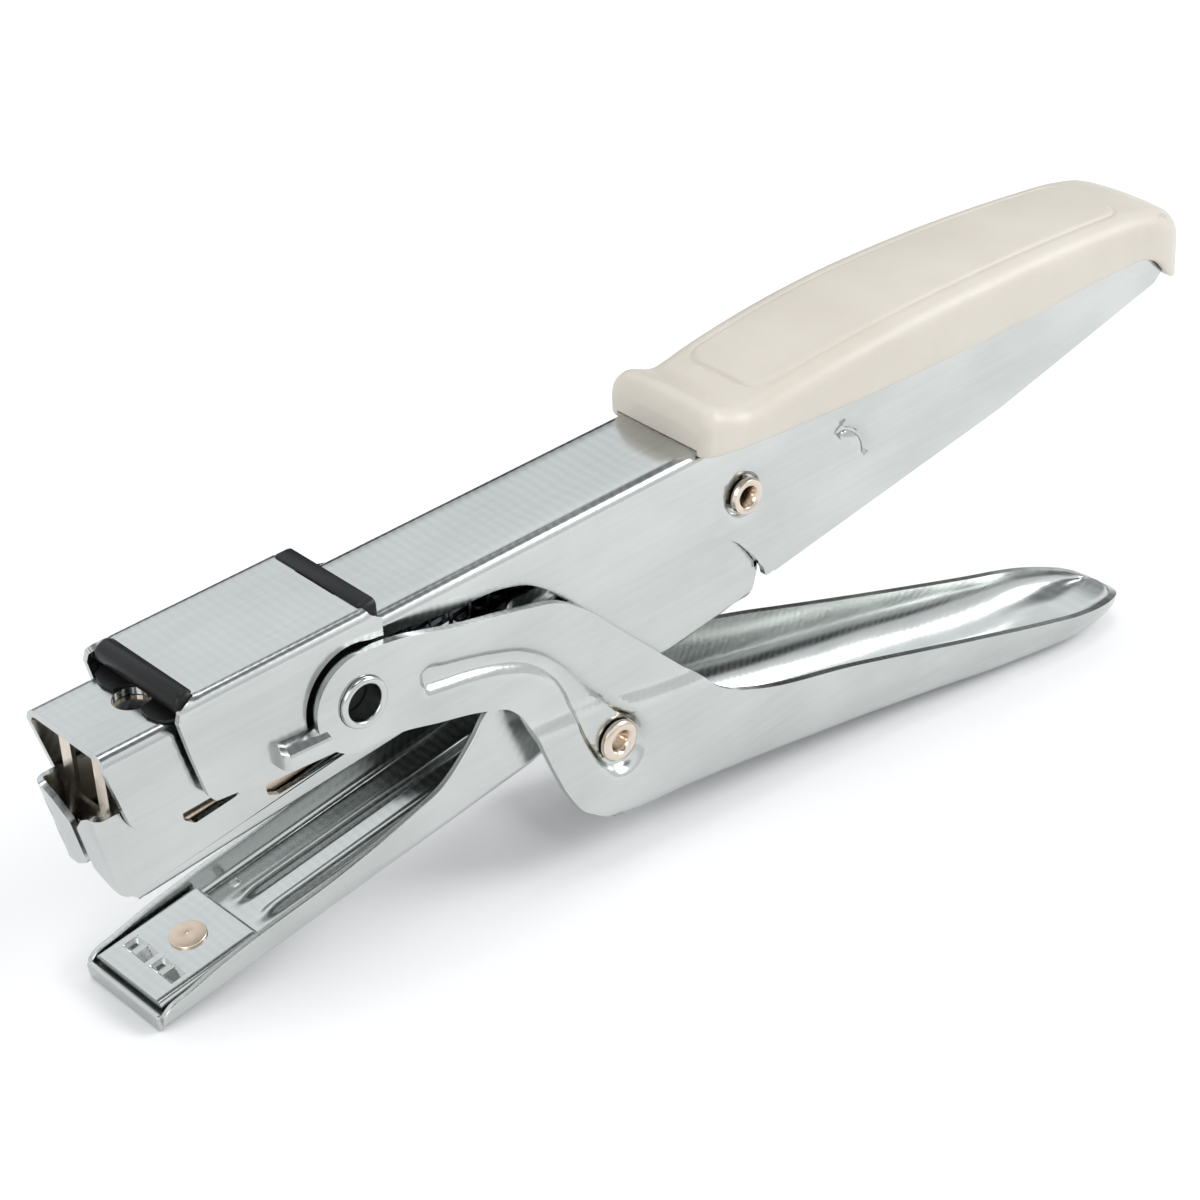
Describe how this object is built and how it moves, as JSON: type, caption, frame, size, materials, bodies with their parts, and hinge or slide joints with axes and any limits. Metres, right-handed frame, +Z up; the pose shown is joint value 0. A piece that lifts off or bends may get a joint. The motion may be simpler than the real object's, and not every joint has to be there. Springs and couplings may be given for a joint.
{
  "type": "plier stapler",
  "caption": "Hand plier stapler: steel channel with cream palm grip, sliding hood, hinged magazine, anvil arm and trough-shaped squeeze lever.",
  "frame": {"origin": "middle of the footprint, on the surface that the tool stands on", "axes": "+X towards the handles' ends, +Y across the tool, +Z up"},
  "size_m": [0.1602, 0.0212, 0.0604],
  "materials": {
    "nickel_sheet": "bright nickel plate on sheet steel, faint drawing streaks",
    "cream_plastic": "satin moulded plastic",
    "black_plastic": "satin moulded plastic",
    "warm_nickel": "warm-toned nickel plate",
    "spring_steel": "drawn wire and plain steel"
  },
  "bodies": {
    "upper_handle": {"upper_channel": "nickel_sheet", "grip_cover": "cream_plastic", "driver_blade": "warm_nickel", "rear_rivet": "warm_nickel"},
    "anvil": {"anvil_arm": "nickel_sheet", "anvil_plate": "nickel_sheet", "anvil_rivet": "warm_nickel", "fulcrum_rivet": "warm_nickel", "fulcrum_washer_left": "spring_steel", "fulcrum_washer_right": "spring_steel", "return_spring": "spring_steel"},
    "magazine": {"magazine_channel": "nickel_sheet", "staple_core": "nickel_sheet", "staple_strip": "spring_steel", "guide_rod": "spring_steel", "rod_anchor": "nickel_sheet", "pusher_spring": "spring_steel", "rear_spacer": "spring_steel"},
    "pusher": {"pusher": "black_plastic"},
    "hood": {"hood_cover": "nickel_sheet", "hood_liner": "black_plastic", "hollow_rivet_left": "nickel_sheet", "hollow_rivet_right": "nickel_sheet"},
    "lever": {"lever": "nickel_sheet"}
  },
  "joints": [
    {"name": "anvil_pivot", "type": "hinge", "parent": "upper_handle", "child": "anvil", "pos_m": [0.00516, 0, 0.03925], "axis": [0, 1, 0], "range_deg": [0, 12.8], "stiffness_Nm_per_rad": 2, "springref_deg": -20.05},
    {"name": "magazine_pivot", "type": "hinge", "parent": "upper_handle", "child": "magazine", "pos_m": [0.00516, 0, 0.03925], "axis": [0, 1, 0], "range_deg": [0, 4.2]},
    {"name": "lever_pivot", "type": "hinge", "parent": "anvil", "child": "lever", "pos_m": [-0.01412, 0, 0.01578], "axis": [0, 1, 0], "range_deg": [-21.9, 0], "deforming": ["return_spring"]},
    {"name": "hood_slide", "type": "slide", "parent": "upper_handle", "child": "hood", "axis": [-0.9886, 0, -0.1509], "range_m": [0, 0.0072]},
    {"name": "pusher_slide", "type": "slide", "parent": "magazine", "child": "pusher", "axis": [0.9738, 0, 0.2273], "range_m": [0, 0.01], "stiffness_N_per_m": 60, "springref_m": -0.02, "deforming": ["pusher_spring"]}
  ],
  "couplings": [
    {"joint": "magazine_pivot", "follows": "anvil_pivot", "ratio": 0.325},
    {"joint": "lever_pivot", "follows": "anvil_pivot", "ratio": -1.705},
    {"joint": "hood_slide", "follows": "anvil_pivot", "m_per_rad": 0.0318}
  ]
}
